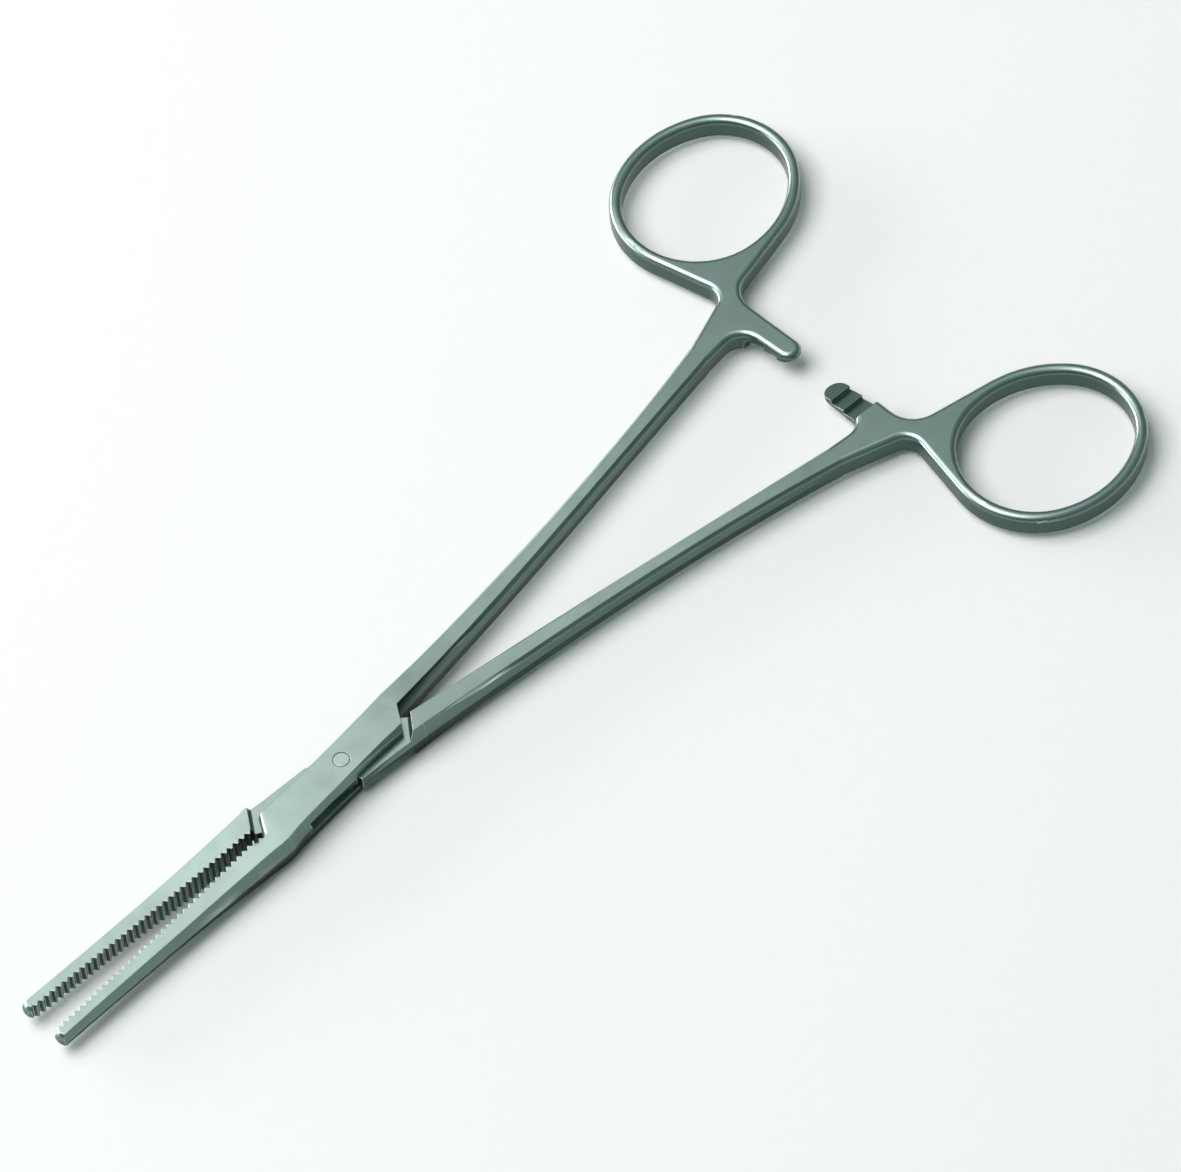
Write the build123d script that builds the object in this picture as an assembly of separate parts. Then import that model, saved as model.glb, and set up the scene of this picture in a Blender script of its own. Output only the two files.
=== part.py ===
from build123d import *
import math
import os

# Straight box-lock haemostatic forceps, lying flat.
# Two forged steel halves cross in the lock and turn on one pin.
# The box half has the -Y jaw and the +Y handle, and its two cheeks straddle the tongue half,
# which has the +Y jaw and the -Y handle.
# Both halves are drawn closed and alike, jaw to -Y and handle to +Y, with the pivot at the origin
# and X pointing to the finger rings. The tongue half is then turned over about X,
# and both are swung apart to the slightly open position in which the forceps lie.

# Opening, in degrees about the pivot
REST_OPENING = 5.1        # angle between the jaws as the forceps lie

# Lock
LOCK_THICKNESS = 5.8      # over the two cheeks
LOCK_FRONT_WIDTH = 3.7    # axis to the jaw's side at the front of the lock, at mid-height
LOCK_WAIST_WIDTH = 3.05   # axis to side beside the pin
LOCK_REAR_WIDTH = 3.8     # axis to the handle's side where it leaves the lock
LOCK_END = 12.0           # pivot to where the handle leaves the lock
LOCK_END_THICKNESS = 5.5
LOCK_DRAFT = 0.4          # lean of the sides, from mid-height to the top
CHEEK_FRONT_WIDTH = 2.85  # axis to the side of the cheeks away from their own jaw
CHEEK_REAR_WIDTH = 3.35   # axis to the side of the cheeks away from their own handle
FLANK_WIDTH = 3.45        # axis to side of the tongue half where it stands beside the cheeks
FLANK_CLEARANCE = 0.1     # between the cheeks and those flanks, when closed
TONGUE_THICKNESS = 2.2
TONGUE_CLEARANCE = 0.04   # between each flat of the tongue and its cheek
TONGUE_WAIST = 2.5        # axis to the side of the tongue beside the pin
TONGUE_HEEL = 0.3         # where the tongue steps out to the rear shoulder
TONGUE_TOE = 3.4          # where it steps out to the front shoulder
TONGUE_STEP = 1.7         # length of each step
WALL_FRONT = 16.0         # pivot to the front end of the slot, along the axis
WALL_FRONT_ANGLE = 27.0
WALL_REAR = 11.9
WALL_REAR_ANGLE = 40.0
WALL_CLEARANCE = 0.15     # between the walls of the slot and the tongue, when closed
PIN_DIAMETER = 2.4
PIN_FIT = 0.01            # pin to cheeks, on the radius
PIN_RUNNING_FIT = 0.04    # pin to tongue, on the radius
PIN_CHAMFER = 0.1

# Slanted ends of the cheeks, and the shoulders of the tongue half that face them
CHEEK_FRONT = 15.8        # pivot to the front end, along the axis
CHEEK_FRONT_ANGLE = 57.0
CHEEK_REAR = 11.3
CHEEK_REAR_ANGLE = 54.0
FRONT_GAP = 0.12
REAR_GAP = 0.5
SHOULDER_SLOPE = 17.0     # lean of the shoulders from upright
BEVEL_WIDTH = 1.3         # double bevel on the front edge of the cheek
BEVEL_BREAK = 0.65        # where its two faces meet
BEVEL_BREAK_DEPTH = 0.3
BEVEL_DEPTH = 1.0
EDGE_BEVEL_START = 10.0   # pivot forward to where the long bevel of the cheeks runs out
EDGE_BEVEL_TURN = 2.7     # turn of that bevel from the axis, in degrees
EDGE_BEVEL_SLOPE = 40.0   # fall of that bevel from level
EDGE_BEVEL_SPARE = 0.3    # how far outside the waist's top edge it starts

# Jaws
JAW_LENGTH = 56.6         # pivot to tip
JAW_ROOT = 13.8           # pivot to where the jaw grows out of the lock
JAW_TIP_WIDTH = 1.8       # tooth line to outer side, at mid-height
JAW_MIDDLE_WIDTH = 3.0
JAW_TIP_THICKNESS = 2.7
JAW_MIDDLE_THICKNESS = 3.9
JAW_SIDE_DRAFT = 0.87     # lean of the outer side, over half the lock's thickness
NOSE_HEIGHT = 0.75        # tooth line to the centre of the rounded nose
TOOTH_PITCH = 1.06
TOOTH_DEPTH = 0.5
TOOTH_CLEARANCE = 0.1     # between the meshed teeth when the jaws are closed
TOOTH_LAND = 0.14         # narrow flat on each crest and in each root

# Shank: slim, bevelled, on a long arc that bows away from the axis
SHANK_START_Y = 2.0
SHANK_START_SLOPE = 0.06
SHANK_ARC_RADIUS = 790.0
SHANK_WAIST_X = 56.0
SHANK_END_X = 84.0
SHANK_ROOT_WIDTH = 3.5
SHANK_WAIST_WIDTH = 2.7
SHANK_END_WIDTH = 3.4
SHANK_BLEND_THICKNESS = 4.05  # halfway between lock and waist
SHANK_WAIST_THICKNESS = 3.85
SHANK_BEVEL = 0.5
SHANK_ROOT_BEVEL = 0.1    # where the shank leaves the lock
SHANK_DRAFT = 0.1

# Finger ring, yoke and ratchet bar
RING_CENTRE = (107.4, 28.7)
RING_TILT = 8.0
RING_FAR_RADIUS = 10.1    # of the hole, at its far end
RING_NEAR_RADIUS = 11.2   # of the hole, at the end nearest the lock
RING_SIDE_RADIUS = 15.5   # of the hole's long sides
RING_END_SPACING = 4.8    # between the centres of its two ends
RING_BAND = 1.85          # radial width of the band
RING_THICKNESS = 3.8
RING_ROUNDING = 0.85
CROTCH = (94.3, 14.3)     # corner between shank and ring, before rounding
CROTCH_RADIUS = 2.6
YOKE = (95.3, 13.2)       # corner between ratchet bar and ring
YOKE_RADIUS = 4.3
BAR_X = 92.95             # centre of the ratchet bar
BAR_WIDTH = 3.6
BAR_OVERLAP = 1.15        # reach past the axis when closed
BAR_TIP_RADIUS = 1.75
BAR_ROOT_Y = 8.3          # corner between shank and bar
BAR_ROOT_RADIUS = 3.0
BAR_GAP = 0.12            # between the crests of the two bars
RATCHET_TEETH = 3
RATCHET_PITCH = 2.45
RATCHET_DEPTH = 0.7
RATCHET_RUN_OUT = 1.4     # run of the slope from the last tooth up to the full bar

HALF = LOCK_THICKNESS / 2
TONGUE_HALF = TONGUE_THICKNESS / 2
SLOT_HALF = TONGUE_HALF + TONGUE_CLEARANCE
RING_HALF = RING_THICKNESS / 2
WIDE = 8.0                # reach of the cutters past the sides of the lock
SPARE_END = LOCK_END + 1  # the lock is drawn to here and trimmed to its end
SPARE_FRONT = CHEEK_FRONT + 2


def polygon(*points):
    return make_face(Polyline(*points, close=True))


def rise(angle, height):
    """Run along X of a line at this angle that climbs by this height."""
    return height / math.tan(math.radians(angle))


def sine(angle):
    return math.sin(math.radians(angle))


def both_faces(shape):
    return shape + mirror(shape, about=Plane.XY)


def lock_plan(grow=0):
    """Outline of the box, waisted beside the pin, with spare length at both ends."""
    waist = LOCK_WAIST_WIDTH + grow
    rear_width, rear_cheek = LOCK_REAR_WIDTH + grow, CHEEK_REAR_WIDTH + grow
    handle_side = ThreePointArc((-CHEEK_FRONT, CHEEK_FRONT_WIDTH + grow), (0, waist), (LOCK_END, rear_width))
    jaw_side = ThreePointArc((LOCK_END, -rear_cheek), (0, -waist), (-CHEEK_FRONT, -LOCK_FRONT_WIDTH - grow))
    rear = Polyline(handle_side @ 1, (SPARE_END, rear_width), (SPARE_END, -rear_cheek), jaw_side @ 0)
    front = Polyline(jaw_side @ 1, (-SPARE_FRONT, (jaw_side @ 1).Y), (-SPARE_FRONT, (handle_side @ 0).Y),
                     handle_side @ 0)
    return make_face([handle_side, rear, jaw_side, front])


def drafted(plan):
    """Full-height body over a plan, its sides leaning in above and below mid-height."""
    lean = math.degrees(math.atan(LOCK_DRAFT / HALF))
    return both_faces(extrude(plan, amount=HALF, taper=lean))


def box_plan():
    """Lock outline of the box half, cut to the slanted front of the cheeks."""
    front = polygon((-CHEEK_FRONT, 0), (rise(CHEEK_FRONT_ANGLE, WIDE) - CHEEK_FRONT, WIDE),
                    (-2 * CHEEK_FRONT, WIDE), (-2 * CHEEK_FRONT, -WIDE), (-JAW_ROOT, -WIDE), (-JAW_ROOT, 0))
    return lock_plan() - front


def rear_notch():
    """Everything behind the slanted rear of the cheeks and inside the foot of the handle."""
    inner = SHANK_START_Y - SHANK_ROOT_WIDTH / 2
    run = rise(CHEEK_REAR_ANGLE, WIDE)
    side = polygon((-WIDE, 0), (inner, 0), (inner + LOCK_DRAFT, HALF), (-WIDE, HALF))
    inside = both_faces(extrude(Plane.YZ * side, amount=2 * LOCK_END))
    behind = polygon((CHEEK_REAR - run, -WIDE), (CHEEK_REAR + run, WIDE), (2 * LOCK_END, WIDE),
                     (2 * LOCK_END, -WIDE))
    return inside & extrude(behind, amount=HALF, both=True)


def slot():
    """Way through the box half for the tongue, open to +Y ahead of the pin and to -Y behind it."""
    plan = polygon((-WALL_FRONT, 0), (rise(WALL_FRONT_ANGLE, WIDE) - WALL_FRONT, -WIDE),
                   (2 * LOCK_END, -WIDE), (2 * LOCK_END, 0), (WALL_REAR, 0),
                   (WALL_REAR - rise(WALL_REAR_ANGLE, WIDE), WIDE), (-WALL_FRONT, WIDE))
    return extrude(plan, amount=SLOT_HALF, both=True)


def cheek_bevel():
    """Double bevel along the slanted front edge of each cheek."""
    profile = polygon((BEVEL_WIDTH, HALF), (BEVEL_BREAK, HALF - BEVEL_BREAK_DEPTH), (0, HALF - BEVEL_DEPTH),
                      (-BEVEL_WIDTH, HALF - BEVEL_DEPTH), (-BEVEL_WIDTH, 2 * HALF), (BEVEL_WIDTH, 2 * HALF))
    along = extrude(Plane.XZ * profile, amount=WIDE, both=True)
    return both_faces(Pos(-CHEEK_FRONT, 0, 0) * Rot(0, 0, CHEEK_FRONT_ANGLE - 90) * along)


def edge_bevel():
    """Long bevel on the jaw's side of each cheek, wider towards the rear."""
    fall = 2 * WIDE * math.tan(math.radians(EDGE_BEVEL_SLOPE))
    profile = polygon((0, HALF), (0, 2 * WIDE), (-2 * WIDE, 2 * WIDE), (-2 * WIDE, HALF - fall))
    along = extrude(Plane.YZ * profile, amount=2 * CHEEK_FRONT)
    start = Pos(-EDGE_BEVEL_START, LOCK_DRAFT - LOCK_WAIST_WIDTH - EDGE_BEVEL_SPARE, 0)
    return both_faces(start * Rot(0, 0, EDGE_BEVEL_TURN) * along)


def tongue():
    """Thin middle of the tongue half, stepped out to meet its two shoulders."""
    front = WALL_FRONT - WALL_CLEARANCE / sine(WALL_FRONT_ANGLE)
    rear = WALL_REAR - WALL_CLEARANCE / sine(WALL_REAR_ANGLE)
    inner = SHANK_START_Y - SHANK_ROOT_WIDTH / 2
    waist = TONGUE_WAIST
    plan = polygon((-front, 0), (rise(WALL_FRONT_ANGLE, waist) - front, waist), (TONGUE_HEEL, waist),
                   (TONGUE_HEEL + TONGUE_STEP, WIDE), (LOCK_END, WIDE), (LOCK_END, inner), (rear, 0),
                   (rear - rise(WALL_REAR_ANGLE, waist), -waist), (-TONGUE_TOE, -waist),
                   (-TONGUE_TOE - TONGUE_STEP, -WIDE), (-2 * CHEEK_FRONT, -WIDE), (-2 * CHEEK_FRONT, 0))
    sides = polygon((-CHEEK_FRONT, -FLANK_WIDTH), (LOCK_END, -FLANK_WIDTH), (LOCK_END, FLANK_WIDTH),
                    (-CHEEK_FRONT, FLANK_WIDTH))
    return extrude(plan & sides, amount=TONGUE_HALF, both=True)


def shank_root():
    """Full-height foot of the handle on the tongue half, reaching forward beside the cheeks."""
    inner = SHANK_START_Y - SHANK_ROOT_WIDTH / 2
    step = TONGUE_HEEL + TONGUE_STEP
    return drafted(polygon((TONGUE_HEEL, 0), (SPARE_END, inner), (SPARE_END, LOCK_REAR_WIDTH),
                           (step, FLANK_WIDTH), (TONGUE_HEEL, TONGUE_WAIST)))


def jaw_root():
    """Full-height root of the jaw on the tongue half, reaching back beside the cheeks."""
    step = -TONGUE_TOE - TONGUE_STEP
    return drafted(polygon((-CHEEK_FRONT, 0), (-CHEEK_FRONT, -LOCK_FRONT_WIDTH), (step, -FLANK_WIDTH),
                           (-TONGUE_TOE, -TONGUE_WAIST), (-TONGUE_TOE, 0)))


def cheek_pockets():
    """Room for the cheeks above and below the tongue, between its leaning shoulders and its flanks."""
    front = CHEEK_FRONT + FRONT_GAP / sine(CHEEK_FRONT_ANGLE)
    rear = CHEEK_REAR + REAR_GAP / sine(CHEEK_REAR_ANGLE)
    front_run, rear_run = rise(CHEEK_FRONT_ANGLE, WIDE), rise(CHEEK_REAR_ANGLE, WIDE)
    plan = polygon((front_run - front, -WIDE), (rear + rear_run, -WIDE), (rear - rear_run, WIDE),
                   (-front_run - front, WIDE))
    pocket = extrude(plan, amount=HALF, taper=-SHOULDER_SLOPE)
    flanks = mirror(drafted(lock_plan(FLANK_CLEARANCE)), about=Plane.XZ)
    return both_faces(Pos(0, 0, TONGUE_HALF) * pocket) & flanks


def side_profile():
    """Side view of jaw and lock as a wide slab: it thins towards the tip and a little to the rear."""
    tip = JAW_TIP_THICKNESS / 2
    level = LOCK_END / 2
    top = Spline((-JAW_LENGTH, tip), (-JAW_LENGTH / 2, JAW_MIDDLE_THICKNESS / 2), (-level, HALF),
                 tangents=[(1, 0.02), (1, 0)])
    end = (LOCK_END, LOCK_END_THICKNESS / 2)
    rest = Polyline(top @ 1, (level, HALF), end, (LOCK_END, 0), (-JAW_LENGTH, 0), top @ 0)
    return both_faces(extrude(Plane.XZ * make_face([top, rest]), amount=2 * WIDE, both=True))


def jaw_section(x, width, draft):
    inner = -TOOTH_DEPTH
    points = [(inner, HALF), (width - draft, HALF), (width, 0), (width - draft, -HALF), (inner, -HALF)]
    return polygon(*[(x, y, z) for y, z in points])


def tooth_line(start, shift):
    """Everything past the zigzag across the jaw, from these starting points on.

    shift moves the teeth along by part of a pitch, so that the two jaws mesh.
    """
    land = TOOTH_LAND / 2
    crest = (TOOTH_CLEARANCE - TOOTH_DEPTH) / 2
    root = (TOOTH_CLEARANCE + TOOTH_DEPTH) / 2
    x = -CHEEK_FRONT - shift
    points = start + [(start[-1][0], root), (x - land, root)]
    x -= TOOTH_PITCH / 2
    while x > -JAW_LENGTH - TOOTH_PITCH:
        points += [(x + land, crest), (x - land, crest)]
        x -= TOOTH_PITCH / 2
        points += [(x + land, root), (x - land, root)]
        x -= TOOTH_PITCH / 2
    points += [(x, -WIDE)]
    return extrude(polygon(*points), amount=HALF, both=True)


def nose():
    """Rounds the tip of the jaw to a half ball."""
    radius = math.hypot(JAW_TIP_THICKNESS / 2, NOSE_HEIGHT + TOOTH_DEPTH / 2)
    ahead = Pos(-WIDE / 2, 0, 0) * Box(WIDE, 2 * WIDE, 2 * WIDE)
    return Pos(radius - JAW_LENGTH, NOSE_HEIGHT, 0) * (ahead - Sphere(radius))


def jaw(start, shift):
    """Jaw with its full-length cross teeth, drawn on the +Y side and put on the -Y side."""
    blank = loft([
        jaw_section(-JAW_LENGTH, JAW_TIP_WIDTH, JAW_SIDE_DRAFT),
        jaw_section(-JAW_LENGTH / 2, JAW_MIDDLE_WIDTH, JAW_SIDE_DRAFT),
        jaw_section(-JAW_ROOT, LOCK_FRONT_WIDTH, LOCK_DRAFT),
    ])
    return mirror(blank - tooth_line(start, shift) - nose(), about=Plane.XZ)


def shank_centre(x):
    run = x - LOCK_END
    return SHANK_START_Y + SHANK_START_SLOPE * run + run**2 / (2 * SHANK_ARC_RADIUS)


def shank_section(x, width, thickness, draft, bevel):
    """Bevelled section with a parting line at mid-height; bevel is its width and its drop."""
    half, top = width / 2, thickness / 2
    shoulder = half - draft
    quarter = [(shoulder - bevel[0], top), (shoulder, top - bevel[1]), (half, 0)]
    right = quarter + [(y, -z) for y, z in reversed(quarter[:2])]
    centre = shank_centre(x)
    return polygon(*[(x, centre + y, z) for y, z in right + [(-y, z) for y, z in reversed(right)]])


def shank():
    """The lock's drafted section passes into a bevelled one, slimmest halfway to the yoke."""
    lean = LOCK_DRAFT * LOCK_END_THICKNESS / LOCK_THICKNESS
    drop = SHANK_ROOT_BEVEL * LOCK_END_THICKNESS / (2 * lean)
    blend_x = (LOCK_END + SHANK_WAIST_X) / 2
    blend_width = (SHANK_ROOT_WIDTH + SHANK_WAIST_WIDTH) / 2
    even = (SHANK_BEVEL, SHANK_BEVEL)
    return loft([
        shank_section(LOCK_END, SHANK_ROOT_WIDTH, LOCK_END_THICKNESS, lean - SHANK_ROOT_BEVEL,
                      (SHANK_ROOT_BEVEL, drop)),
        shank_section(blend_x, blend_width, SHANK_BLEND_THICKNESS, SHANK_DRAFT, even),
        shank_section(SHANK_WAIST_X, SHANK_WAIST_WIDTH, SHANK_WAIST_THICKNESS, SHANK_DRAFT, even),
        shank_section(SHANK_END_X, SHANK_END_WIDTH, RING_THICKNESS, 0, even),
    ])


def ring_centres():
    """Centres of the ring's far end, near end and upper side, in the ring's own frame."""
    half = RING_END_SPACING / 2
    far, near = RING_SIDE_RADIUS - RING_FAR_RADIUS, RING_SIDE_RADIUS - RING_NEAR_RADIUS
    x = (near**2 - far**2) / (4 * half)
    return Vector(half, 0), Vector(-half, 0), Vector(x, -math.sqrt(far**2 - (x - half)**2))


def ring_oval(grow):
    """Four-centred oval, blunter at its near end; grow moves it outwards all round."""
    far, near, side = ring_centres()
    radius = RING_SIDE_RADIUS + grow
    far_joint = side + (far - side).normalized() * radius
    near_joint = side + (near - side).normalized() * radius
    upper = ThreePointArc(far_joint, (side.X, side.Y + radius), near_joint)
    lower = mirror(upper, about=Plane.XZ)
    far_end = ThreePointArc(lower @ 0, (far.X + RING_FAR_RADIUS + grow, 0), upper @ 0)
    near_end = ThreePointArc(upper @ 1, (near.X - RING_NEAR_RADIUS - grow, 0), lower @ 1)
    return Pos(*RING_CENTRE) * Rot(0, 0, RING_TILT) * make_face([far_end, upper, near_end, lower])


def touching_point(corner, centre, radius, side):
    """Where a line from this corner touches the outside of one of the ring's arcs."""
    local = (Vector(*corner) - Vector(*RING_CENTRE)).rotate(Axis.Z, -RING_TILT) - centre
    reach = radius + RING_BAND
    turn = math.degrees(math.acos(reach / local.length))
    touch = centre + local.normalized().rotate(Axis.Z, side * turn) * reach
    point = Vector(*RING_CENTRE) + touch.rotate(Axis.Z, RING_TILT)
    return (point.X, point.Y)


def yoke_plan():
    """Flat meeting place of shank, ring and ratchet bar."""
    centre, half = shank_centre(SHANK_END_X), SHANK_END_WIDTH / 2
    near, side = ring_centres()[1:]
    outer_touch = touching_point(CROTCH, near, RING_NEAR_RADIUS, -1)
    inner_touch = touching_point(YOKE, Vector(side.X, -side.Y), RING_SIDE_RADIUS, 1)
    arms = polygon(CROTCH, outer_touch, RING_CENTRE, inner_touch, YOKE)
    left, right = BAR_X - BAR_WIDTH / 2, BAR_X + BAR_WIDTH / 2
    stem = polygon((SHANK_END_X, centre + half), CROTCH, YOKE, (right, -BAR_OVERLAP), (left, -BAR_OVERLAP),
                   (left, BAR_ROOT_Y), (SHANK_END_X, centre - half))
    return arms + stem


def round_corner(plate, corner, radius):
    edge = plate.edges().filter_by(Axis.Z).sort_by_distance((*corner, 0))[0]
    return fillet(edge, radius)


def handle_end():
    """Finger ring, yoke and ratchet bar, one plate with rounded edges."""
    plate = extrude(ring_oval(RING_BAND) + yoke_plan(), amount=RING_HALF, both=True)
    left, right = BAR_X - BAR_WIDTH / 2, BAR_X + BAR_WIDTH / 2
    plate = round_corner(plate, CROTCH, CROTCH_RADIUS)
    plate = round_corner(plate, YOKE, YOKE_RADIUS)
    plate = round_corner(plate, (left, BAR_ROOT_Y), BAR_ROOT_RADIUS)
    plate = round_corner(plate, (left, -BAR_OVERLAP), BAR_TIP_RADIUS)
    plate = round_corner(plate, (right, -BAR_OVERLAP), BAR_TIP_RADIUS)
    plate -= extrude(ring_oval(0), amount=RING_HALF, both=True)
    rims = plate.faces().filter_by(Axis.Z).edges()
    rims -= plate.faces().sort_by(Axis.X)[0].edges()
    return fillet(rims, RING_ROUNDING)


def ratchet_cut():
    """Thins the ratchet bar from below to its upper half, leaving sawteeth on the underside."""
    crest = BAR_GAP / 2
    y = -BAR_OVERLAP
    points = [(y - 1, -WIDE), (y - 1, crest + RATCHET_DEPTH)]
    for i in range(RATCHET_TEETH):
        points += [(y, crest + RATCHET_DEPTH), (y + RATCHET_PITCH, crest)]
        y += RATCHET_PITCH
    points += [(y, crest + RATCHET_DEPTH), (y + RATCHET_DEPTH, crest), (y + RATCHET_RUN_OUT, -WIDE)]
    return Pos(BAR_X, 0, 0) * extrude(Plane.YZ * polygon(*points), amount=BAR_WIDTH, both=True)


def box_half():
    """Jaw, slotted lock with two cheeks, and handle with the upper ratchet bar."""
    teeth_start = [(rise(CHEEK_FRONT_ANGLE, WIDE) - CHEEK_FRONT, -WIDE), (-CHEEK_FRONT, 0)]
    lock = (jaw(teeth_start, 0) + drafted(box_plan())) & side_profile()
    lock -= rear_notch()
    lock -= slot()
    lock -= cheek_bevel()
    lock -= edge_bevel()
    lock -= Cylinder(PIN_DIAMETER / 2 + PIN_FIT, 2 * LOCK_THICKNESS)
    return lock + shank() + (handle_end() - ratchet_cut())


def tongue_half():
    """Jaw, tongue with two pairs of shoulders, and handle with the lower ratchet bar."""
    forging = jaw([(-JAW_ROOT, -WIDE)], TOOTH_PITCH / 2) + jaw_root() + shank_root()
    lock = forging & side_profile()
    lock -= cheek_pockets()
    lock += tongue()
    lock -= Cylinder(PIN_DIAMETER / 2 + PIN_RUNNING_FIT, 2 * LOCK_THICKNESS)
    return Rot(180, 0, 0) * (lock + shank() + (handle_end() - ratchet_cut()))


def pivot_pin():
    """Plain pin, flush with both cheeks."""
    pin = Cylinder(PIN_DIAMETER / 2, LOCK_THICKNESS)
    return chamfer(pin.edges().filter_by(GeomType.CIRCLE), PIN_CHAMFER)


lift = Pos(0, 0, HALF)    # brings the underside of the lock to z = 0
swing = REST_OPENING / 2

os.makedirs("parts", exist_ok=True)
export_step(lift * Rot(0, 0, swing) * box_half(), "parts/box_half.step")
export_step(lift * Rot(0, 0, -swing) * tongue_half(), "parts/tongue_half.step")
export_step(lift * pivot_pin(), "parts/pivot_pin.step")
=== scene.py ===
import bmesh
import bpy
import math
from mathutils import Matrix, Vector


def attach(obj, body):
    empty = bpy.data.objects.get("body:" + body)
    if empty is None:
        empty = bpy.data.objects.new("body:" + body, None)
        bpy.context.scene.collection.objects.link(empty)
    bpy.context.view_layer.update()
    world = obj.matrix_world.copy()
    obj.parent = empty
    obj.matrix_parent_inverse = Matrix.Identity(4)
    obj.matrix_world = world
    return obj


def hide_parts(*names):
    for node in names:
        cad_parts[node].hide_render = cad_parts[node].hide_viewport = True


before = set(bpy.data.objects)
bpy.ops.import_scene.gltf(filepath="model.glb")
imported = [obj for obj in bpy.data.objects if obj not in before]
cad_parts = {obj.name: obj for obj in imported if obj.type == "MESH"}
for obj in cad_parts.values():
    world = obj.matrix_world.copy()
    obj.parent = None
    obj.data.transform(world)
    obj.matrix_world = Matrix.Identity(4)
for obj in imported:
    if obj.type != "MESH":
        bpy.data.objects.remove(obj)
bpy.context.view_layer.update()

# Box half: the forging with the slotted lock, one jaw and one handle.
# Stainless steel, ground on its faces and tumbled to a satin finish, with a slightly
# polished line along every edge; the upright walls are darkened with painted shade.
STEEL_TOP = (0.595, 0.70, 0.67, 1)       # ground faces
STEEL_SHADE = (0.50, 0.605, 0.575, 1)    # blotches left by cleaning
WALL_PAINTED_SHADE = (0.135, 0.205, 0.19, 1)     # painted shade on the upright walls
UNDER_PAINTED_SHADE = (0.032, 0.058, 0.052, 1)   # darker painted shade on walls that lean inwards below mid-height
STEEL_RUBBED = (0.80, 0.88, 0.86, 1)     # polished line along the edges
STEEL_ROUGHNESS = 0.30
CLEANER = 0.05                           # roughness that the cleanest metal has less
DULLER = 0.07                            # roughness that the most blotched metal has more
BLOTCH_SIZE = 0.0045
BLOTCH_DETAIL = 5
BLOTCH_SPREAD = (0.42, 0.72)             # values of the noise, from clean to blotched
GRAIN_SIZE = 0.00012
GRAIN_DETAIL = 3
GRAIN_STRENGTH = 0.10
GRAIN_DEPTH = 0.00002
STREAK_LENGTH = 14                       # how many times longer than wide the grinding marks are
WALL_TO_FACE = (0.30, 0.85)              # steepness over which the painted wall shade gives way to the faces' tone, as the normal's rise or fall
UNDER_TO_WALL = (-0.10, 0.16)            # the normal's rise over which the darker painted shade gives way, from leaning inwards to upright
EDGE_RADIUS = 0.00013                    # tumbled edges
EDGE_SAMPLES = 6
PLAIN_TO_RUBBED = (0.995, 0.90)          # cosine of the turn that a rounded edge gives the normal
PIN_RIM = (0.0016, 0.00192)              # the pin is ground flush, so rubbed edges start outside it


def link(tree, source, output, target, socket):
    tree.links.new(source.outputs[output], target.inputs[socket])


def add_node(tree, kind, values, **settings):
    """A shader node. Its settings are made first, as they decide which values it takes."""
    node = tree.nodes.new("ShaderNode" + kind)
    for name, setting in settings.items():
        setattr(node, name, setting)
    for socket, value in values.items():
        node.inputs[socket].default_value = value
    return node


def add_fade(tree, source, output, span, curve="LINEAR"):
    """Goes from 0 to 1 as the source goes from one end of the span to the other."""
    start, end = span
    fade = add_node(tree, "MapRange", {"From Min": start, "From Max": end}, interpolation_type=curve)
    link(tree, source, output, fade, "Value")
    return fade


def grinding_marks(tree, place, rounded):
    """Fine marks along the piece, as a bump on top of the rounded edges."""
    along = add_node(tree, "Mapping", {"Scale": (1 / STREAK_LENGTH, 1, 1)})
    link(tree, place, "Object", along, "Vector")
    grain = add_node(tree, "TexNoise", {"Scale": 1 / GRAIN_SIZE, "Detail": GRAIN_DETAIL})
    link(tree, along, "Vector", grain, "Vector")
    marks = add_node(tree, "Bump", {"Strength": GRAIN_STRENGTH, "Distance": GRAIN_DEPTH})
    link(tree, grain, "Fac", marks, "Height")
    link(tree, rounded, "Normal", marks, "Normal")
    return marks


def paint_wall_shade(tree, surface, face_tone):
    """The ground faces keep their tone, and the walls get painted shade, darkest where they lean inwards.
    """
    rise = add_node(tree, "SeparateXYZ", {})
    link(tree, surface, "True Normal", rise, "Vector")
    level = add_node(tree, "Math", {}, operation="ABSOLUTE")
    link(tree, rise, "Z", level, "Value")
    # Painted shade: upright walls dark, walls that face downwards darker still.
    wall = add_node(tree, "Mix", {"A": UNDER_PAINTED_SHADE, "B": WALL_PAINTED_SHADE}, data_type="RGBA")
    link(tree, add_fade(tree, rise, "Z", UNDER_TO_WALL, "SMOOTHSTEP"), "Result", wall, "Factor")
    shaded_tone = add_node(tree, "Mix", {}, data_type="RGBA")
    link(tree, add_fade(tree, level, "Value", WALL_TO_FACE, "SMOOTHSTEP"), "Result", shaded_tone, "Factor")
    link(tree, wall, "Result", shaded_tone, "A")
    link(tree, face_tone, "Result", shaded_tone, "B")
    return shaded_tone


def edge_wear(tree, place, surface, rounded):
    """1 along the edges, and 0 on the faces and round the pin."""
    turn = add_node(tree, "VectorMath", {}, operation="DOT_PRODUCT")
    link(tree, surface, "True Normal", turn, 0)
    link(tree, rounded, "Normal", turn, 1)
    flat = add_node(tree, "VectorMath", {1: (1, 1, 0)}, operation="MULTIPLY")
    link(tree, place, "Object", flat, 0)
    from_pin = add_node(tree, "VectorMath", {}, operation="LENGTH")
    link(tree, flat, "Vector", from_pin, 0)
    wear = add_node(tree, "Math", {}, operation="MULTIPLY")
    link(tree, add_fade(tree, turn, "Value", PLAIN_TO_RUBBED), "Result", wear, 0)
    link(tree, add_fade(tree, from_pin, "Value", PIN_RIM), "Result", wear, 1)
    return wear


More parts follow.
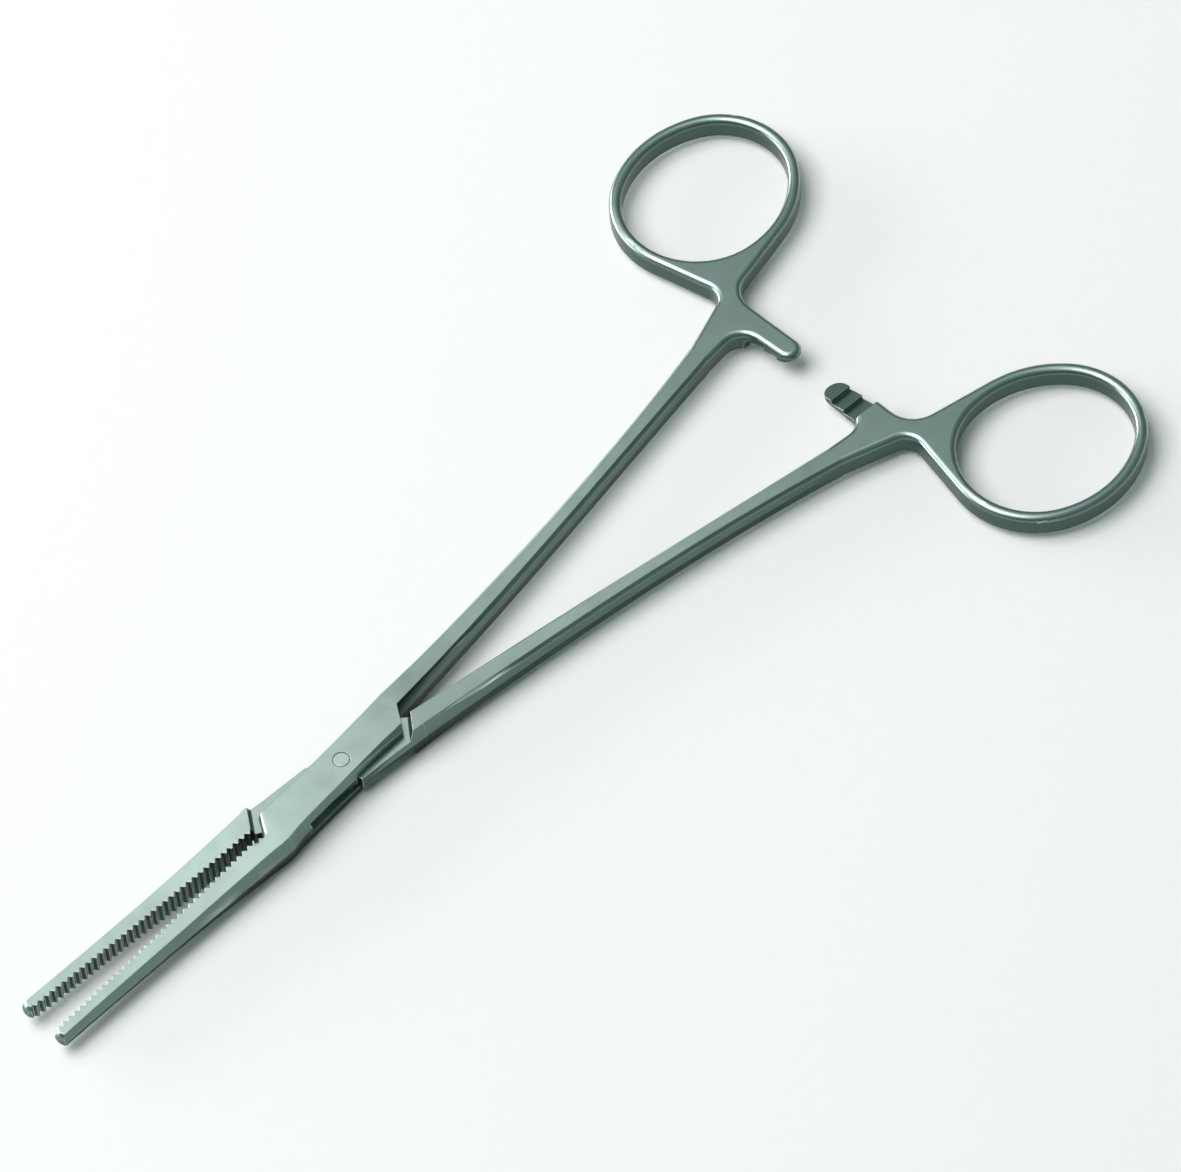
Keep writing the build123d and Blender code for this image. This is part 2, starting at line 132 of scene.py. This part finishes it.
def satin_steel(name, top, shade, roughness):
    """Ground stainless steel: blotched tone, fine grinding marks, polished edges, and painted shade on
    the walls.
    """
    material = bpy.data.materials.new(name)
    material.use_nodes = True
    tree = material.node_tree
    shader = tree.nodes["Principled BSDF"]
    shader.inputs["Metallic"].default_value = 1.0
    place = add_node(tree, "TexCoord", {})
    surface = add_node(tree, "NewGeometry", {})
    rounded = add_node(tree, "Bevel", {"Radius": EDGE_RADIUS}, samples=EDGE_SAMPLES)
    link(tree, grinding_marks(tree, place, rounded), "Normal", shader, "Normal")

    blotch = add_node(tree, "TexNoise", {"Scale": 1 / BLOTCH_SIZE, "Detail": BLOTCH_DETAIL})
    link(tree, place, "Object", blotch, "Vector")
    tone = add_node(tree, "Mix", {"A": top, "B": shade}, data_type="RGBA")
    link(tree, add_fade(tree, blotch, "Fac", BLOTCH_SPREAD), "Result", tone, "Factor")
    polish = add_node(tree, "Mix", {"B": STEEL_RUBBED}, data_type="RGBA")
    link(tree, edge_wear(tree, place, surface, rounded), "Value", polish, "Factor")
    # The walls' tone here is painted shade, under the polished edges.
    link(tree, paint_wall_shade(tree, surface, tone), "Result", polish, "A")
    link(tree, polish, "Result", shader, "Base Color")

    matt = add_node(tree, "MapRange", {"To Min": roughness - CLEANER, "To Max": roughness + DULLER})
    link(tree, blotch, "Fac", matt, "Value")
    link(tree, matt, "Result", shader, "Roughness")
    return material


OPENING = math.radians(2.55)         # each half is turned by this from the closed position
MID_HEIGHT = 0.0029
MM = 0.001
WELD = 2e-6                          # corners that meet within this are one
SMOOTH_ANGLE = math.radians(28)      # an edge that turns by more than this stays crisp


def rest_place(turn):
    """From a half drawn closed, in millimetres about the pivot's middle, to its place at rest."""
    lifted = Matrix.Translation((0, 0, MID_HEIGHT))
    return lifted @ Matrix.Rotation(turn, 4, "Z") @ Matrix.Scale(MM, 4)


def new_piece(name, form):
    """A new object whose mesh is this form."""
    mesh = bpy.data.meshes.new(name)
    form.to_mesh(mesh)
    form.free()
    piece = bpy.data.objects.new(name, mesh)
    bpy.context.scene.collection.objects.link(piece)
    return piece


def joined_copy(node, turn):
    """The node's own form with its corners joined, as it is drawn closed and in millimetres."""
    form = bmesh.new()
    form.from_mesh(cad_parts[node].data)
    bmesh.ops.remove_doubles(form, verts=form.verts, dist=WELD)
    bmesh.ops.dissolve_degenerate(form, edges=form.edges, dist=WELD)
    bmesh.ops.transform(form, matrix=rest_place(turn).inverted(), verts=form.verts)
    return new_piece(node + "_finish", form)


def work(piece, form, operation):
    """Adds a form to the piece or takes it away, for good."""
    tool = new_piece("tool", form)
    step = piece.modifiers.new("step", "BOOLEAN")
    step.operation = operation
    step.solver = "EXACT"
    step.object = tool
    bpy.context.view_layer.update()
    seen = piece.evaluated_get(bpy.context.evaluated_depsgraph_get())
    before = piece.data
    piece.data = bpy.data.meshes.new_from_object(seen)
    piece.modifiers.clear()
    bpy.data.objects.remove(tool)
    bpy.data.meshes.remove(before)


def finish_copy(piece, node, turn, body, material):
    """Back to its place at rest, with smooth curves and crisp edges, to stand for its node."""
    form = bmesh.new()
    form.from_mesh(piece.data)
    bmesh.ops.transform(form, matrix=rest_place(turn), verts=form.verts)
    bmesh.ops.remove_doubles(form, verts=form.verts, dist=WELD)
    bmesh.ops.dissolve_degenerate(form, edges=form.edges, dist=WELD)
    for face in form.faces:
        face.smooth = True
        face.material_index = 0
    for edge in form.edges:
        edge.smooth = len(edge.link_faces) == 2 and edge.calc_face_angle(math.pi) < SMOOTH_ANGLE
    form.to_mesh(piece.data)
    form.free()
    piece.data.materials.clear()
    piece.data.materials.append(material)
    even = piece.modifiers.new("even_normals", "WEIGHTED_NORMAL")
    even.keep_sharp = True
    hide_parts(node)
    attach(piece, body)


# The jaw's root is one smooth swelling between lock and jaw, proud of the ground faces
# by a hair, and sunk a little beside the teeth. All in millimetres, closed, from the pivot.
ROOT_STATIONS = (-23.2, -22.0, -20.0, -18.0, -16.0, -15.0, -13.8, -12.7, -11.4)
ROOT_SIDES = (3.20, 3.31, 3.41, 3.51, 3.62, 3.70, 3.74, 3.58, 3.36)        # at mid-height
ROOT_TOP_SIDES = (2.64, 2.78, 2.89, 3.00, 3.17, 3.27, 3.31, 3.17, 2.99)    # at the top face
ROOT_HEIGHTS = (2.195, 2.301, 2.414, 2.525, 2.632, 2.68, 2.733, 2.774, 2.778)
ROOT_INNERS = (0.6, 0.6, 0.6, 0.6, 0.6, 0.3, -0.5, -0.6, -0.6)  # outside the roots of the teeth
ROOT_FADE = 0.4        # strip beside the teeth over which the swelling comes up to its height
ROOT_SINK = 0.03
ROOT_FLOOR = 1.3       # the swelling's cheeks start above the slot
ROOT_WALL = 2.75       # outside the slot's wall


def jaw_root():
    """The swelling as a closed loft: one outline at each station, the same above and below."""
    form = bmesh.new()
    loops = []
    sections = zip(ROOT_STATIONS, ROOT_SIDES, ROOT_TOP_SIDES, ROOT_INNERS, ROOT_HEIGHTS)
    for x, side, top_side, inner, height in sections:
        upper = [(top_side, height), (inner + ROOT_FADE, height), (inner, height - ROOT_SINK),
                 (inner, ROOT_FLOOR), (ROOT_WALL, ROOT_FLOOR)]
        lower = [(y, -z) for y, z in reversed(upper)]
        corners = [form.verts.new((x, -y, z)) for y, z in [(side, 0)] + upper + lower]
        loops.append([form.edges.new((corners[i - 1], corners[i])) for i in range(len(corners))])
    bmesh.ops.contextual_create(form, geom=loops[0])
    bmesh.ops.contextual_create(form, geom=loops[-1])
    for near, far in zip(loops, loops[1:]):
        bmesh.ops.bridge_loops(form, edges=near + far)
    bmesh.ops.triangulate(form, faces=form.faces)
    bmesh.ops.recalc_face_normals(form, faces=form.faces)
    return form


steel = satin_steel("satin_steel", STEEL_TOP, STEEL_SHADE, STEEL_ROUGHNESS)
box_copy = joined_copy("box_half", OPENING)
work(box_copy, jaw_root(), "UNION")
finish_copy(box_copy, "box_half", OPENING, "box_side", steel)

# Tongue half: the forging that passes through the box, with the other jaw and handle.
# The same steel and finish, as both halves are ground together. Beside the cheeks the metal
# above and below its middle layer is milled away, right across, between two leaning shoulders.
LAYER_HALF = 1.09                                # half the middle layer's thickness
POCKET_TOP = 3.4                                 # clear of the ground faces
POCKET_REACH = 8.0                               # clear of both sides
FRONT_SHOULDER = 15.955                          # from the pivot to where the shoulder crosses the middle
REAR_SHOULDER = 11.93
FRONT_LEAN = math.radians(57)                    # from the length of the forceps, seen from above
REAR_LEAN = math.radians(54)
SHOULDER_DRAFT = math.tan(math.radians(17))      # how far a shoulder leans out for its height


def pocket(side):
    """The milled space above (1) or below (-1) the middle layer, as wide as the cutter runs."""
    form = bmesh.new()
    for height in (LAYER_HALF, POCKET_TOP):
        spread = (height - LAYER_HALF) * SHOULDER_DRAFT
        for y in (-POCKET_REACH, POCKET_REACH):
            front = y / math.tan(FRONT_LEAN) - FRONT_SHOULDER - spread / math.sin(FRONT_LEAN)
            rear = y / math.tan(REAR_LEAN) + REAR_SHOULDER + spread / math.sin(REAR_LEAN)
            form.verts.new((front, y, side * height))
            form.verts.new((rear, y, side * height))
    bmesh.ops.convex_hull(form, input=form.verts)
    bmesh.ops.recalc_face_normals(form, faces=form.faces)
    return form


tongue_copy = joined_copy("tongue_half", -OPENING)
for side in (1, -1):
    work(tongue_copy, pocket(side), "DIFFERENCE")
finish_copy(tongue_copy, "tongue_half", -OPENING, "tongue_side", steel)

# Pivot pin: a plain pin through both cheeks, ground off flush with them.
# Slightly paler steel, so that its end shows as a faint disc in the cheek.
PIN_TOP = (0.66, 0.75, 0.72, 1)
PIN_SHADE = (0.60, 0.70, 0.67, 1)
PIN_ROUGHNESS = 0.33
pin_steel = satin_steel("pin_steel", PIN_TOP, PIN_SHADE, PIN_ROUGHNESS)
pin_copy = joined_copy("pivot_pin", OPENING)
finish_copy(pin_copy, "pivot_pin", OPENING, "box_side", pin_steel)

# Table: a wide sheet of white card under the forceps.
# Matt, with a faint fibre grain.
TABLE_HALF = 3.0
CARD_PALE = (0.935, 0.918, 0.92, 1)
CARD_WHITE = (0.95, 0.933, 0.935, 1)
CARD_ROUGHNESS = 0.9
CARD_SHINE = 0.1
FIBRE_SIZE = 0.0025
card = bpy.data.materials.new("white_card")
card.use_nodes = True
card_tree = card.node_tree
paper = card_tree.nodes["Principled BSDF"]
paper.inputs["Roughness"].default_value = CARD_ROUGHNESS
paper.inputs["Specular IOR Level"].default_value = CARD_SHINE
card_place = add_node(card_tree, "TexCoord", {})
fibre = add_node(card_tree, "TexNoise", {"Scale": 1 / FIBRE_SIZE})
link(card_tree, card_place, "Object", fibre, "Vector")
fibre_tone = add_node(card_tree, "Mix", {"A": CARD_PALE, "B": CARD_WHITE}, data_type="RGBA")
link(card_tree, fibre, "Fac", fibre_tone, "Factor")
link(card_tree, fibre_tone, "Result", paper, "Base Color")
sheet = bmesh.new()
bmesh.ops.create_grid(sheet, x_segments=1, y_segments=1, size=TABLE_HALF)
table = new_piece("table", sheet)
table.data.materials.append(card)

# Light: a dim, slightly green studio with a broad softbox overhead, a small near one that
# mirrors only in the jaw end, and a long low one at the far side, which gives the slanted
# edges that face it their bright lines.
ROOM_TOP = 0.20
ROOM_HORIZON = 0.11
ROOM_RISE = (0.25, 1.0)              # height in the sky over which the room gets brighter
ROOM_TINT = (0.62, 1.0, 0.93, 1)
world = bpy.data.worlds.new("studio")
world.use_nodes = True
bpy.context.scene.world = world
sky = world.node_tree
background = sky.nodes["Background"]
background.inputs["Color"].default_value = ROOM_TINT
direction = add_node(sky, "TexCoord", {})
above = add_node(sky, "SeparateXYZ", {})
link(sky, direction, "Generated", above, "Vector")
room = add_fade(sky, above, "Z", ROOM_RISE, "SMOOTHSTEP")
room.inputs["To Min"].default_value = ROOM_HORIZON
room.inputs["To Max"].default_value = ROOM_TOP
link(sky, room, "Result", background, "Strength")


def softbox(name, place, aim, size, power):
    lamp = bpy.data.lights.new(name, "AREA")
    lamp.shape = "RECTANGLE"
    lamp.size, lamp.size_y = size
    lamp.energy = power
    box = bpy.data.objects.new(name, lamp)
    box.location = place
    box.rotation_euler = (Vector(aim) - Vector(place)).to_track_quat("-Z", "Y").to_euler()
    bpy.context.scene.collection.objects.link(box)
    return box


OVERHEAD = {"place": (-0.50, 0.35, 1.35), "aim": (0, 0, 0), "size": (1.15, 1.15)}
softbox("jaw_box", place=(0.035, 0.25, 0.45), aim=(0.035, 0.25, 0), size=(0.47, 0.5), power=0.48)
softbox("overhead_box", power=10, **OVERHEAD)
table_light = softbox("table_light", power=12, **OVERHEAD)
table_light.visible_glossy = False   # it lights the card, and the steel doesn't mirror it
softbox("low_box", place=(-0.45, 0.95, 0.20), aim=(0, 0, 0), size=(1.2, 0.35), power=7.5)

# Camera: the photograph's view, from beyond the jaws and well above, through a long lens.
# It looks at a point between the pivot and the rings, and is rolled a little to one side.
CAMERA_AZIMUTH = math.radians(-40.54)
CAMERA_ELEVATION = math.radians(53.952)
CAMERA_ROLL = math.radians(-5.728)
CAMERA_AIM = Vector((0.045117, -0.003009, 0.0029))
CAMERA_DISTANCE = 1.0705
CAMERA_LENS = 234.7
SENSOR_WIDTH = 36
CAMERA_REACH = 20
back = Vector((math.sin(CAMERA_AZIMUTH) * math.cos(CAMERA_ELEVATION),
               -math.cos(CAMERA_AZIMUTH) * math.cos(CAMERA_ELEVATION),
               math.sin(CAMERA_ELEVATION)))
level_right = Vector((math.cos(CAMERA_AZIMUTH), math.sin(CAMERA_AZIMUTH), 0))
level_up = back.cross(level_right)
right = level_right * math.cos(CAMERA_ROLL) + level_up * math.sin(CAMERA_ROLL)
up = level_up * math.cos(CAMERA_ROLL) - level_right * math.sin(CAMERA_ROLL)
lens = bpy.data.cameras.new("camera")
lens.lens = CAMERA_LENS
lens.sensor_width = SENSOR_WIDTH
lens.sensor_fit = "HORIZONTAL"
lens.clip_end = CAMERA_REACH
camera = bpy.data.objects.new("camera", lens)
stand = Matrix.Translation(CAMERA_AIM + back * CAMERA_DISTANCE)
camera.matrix_world = stand @ Matrix((right, up, back)).transposed().to_4x4()
bpy.context.scene.collection.objects.link(camera)
bpy.context.scene.camera = camera
bpy.context.scene.view_settings.view_transform = "Standard"
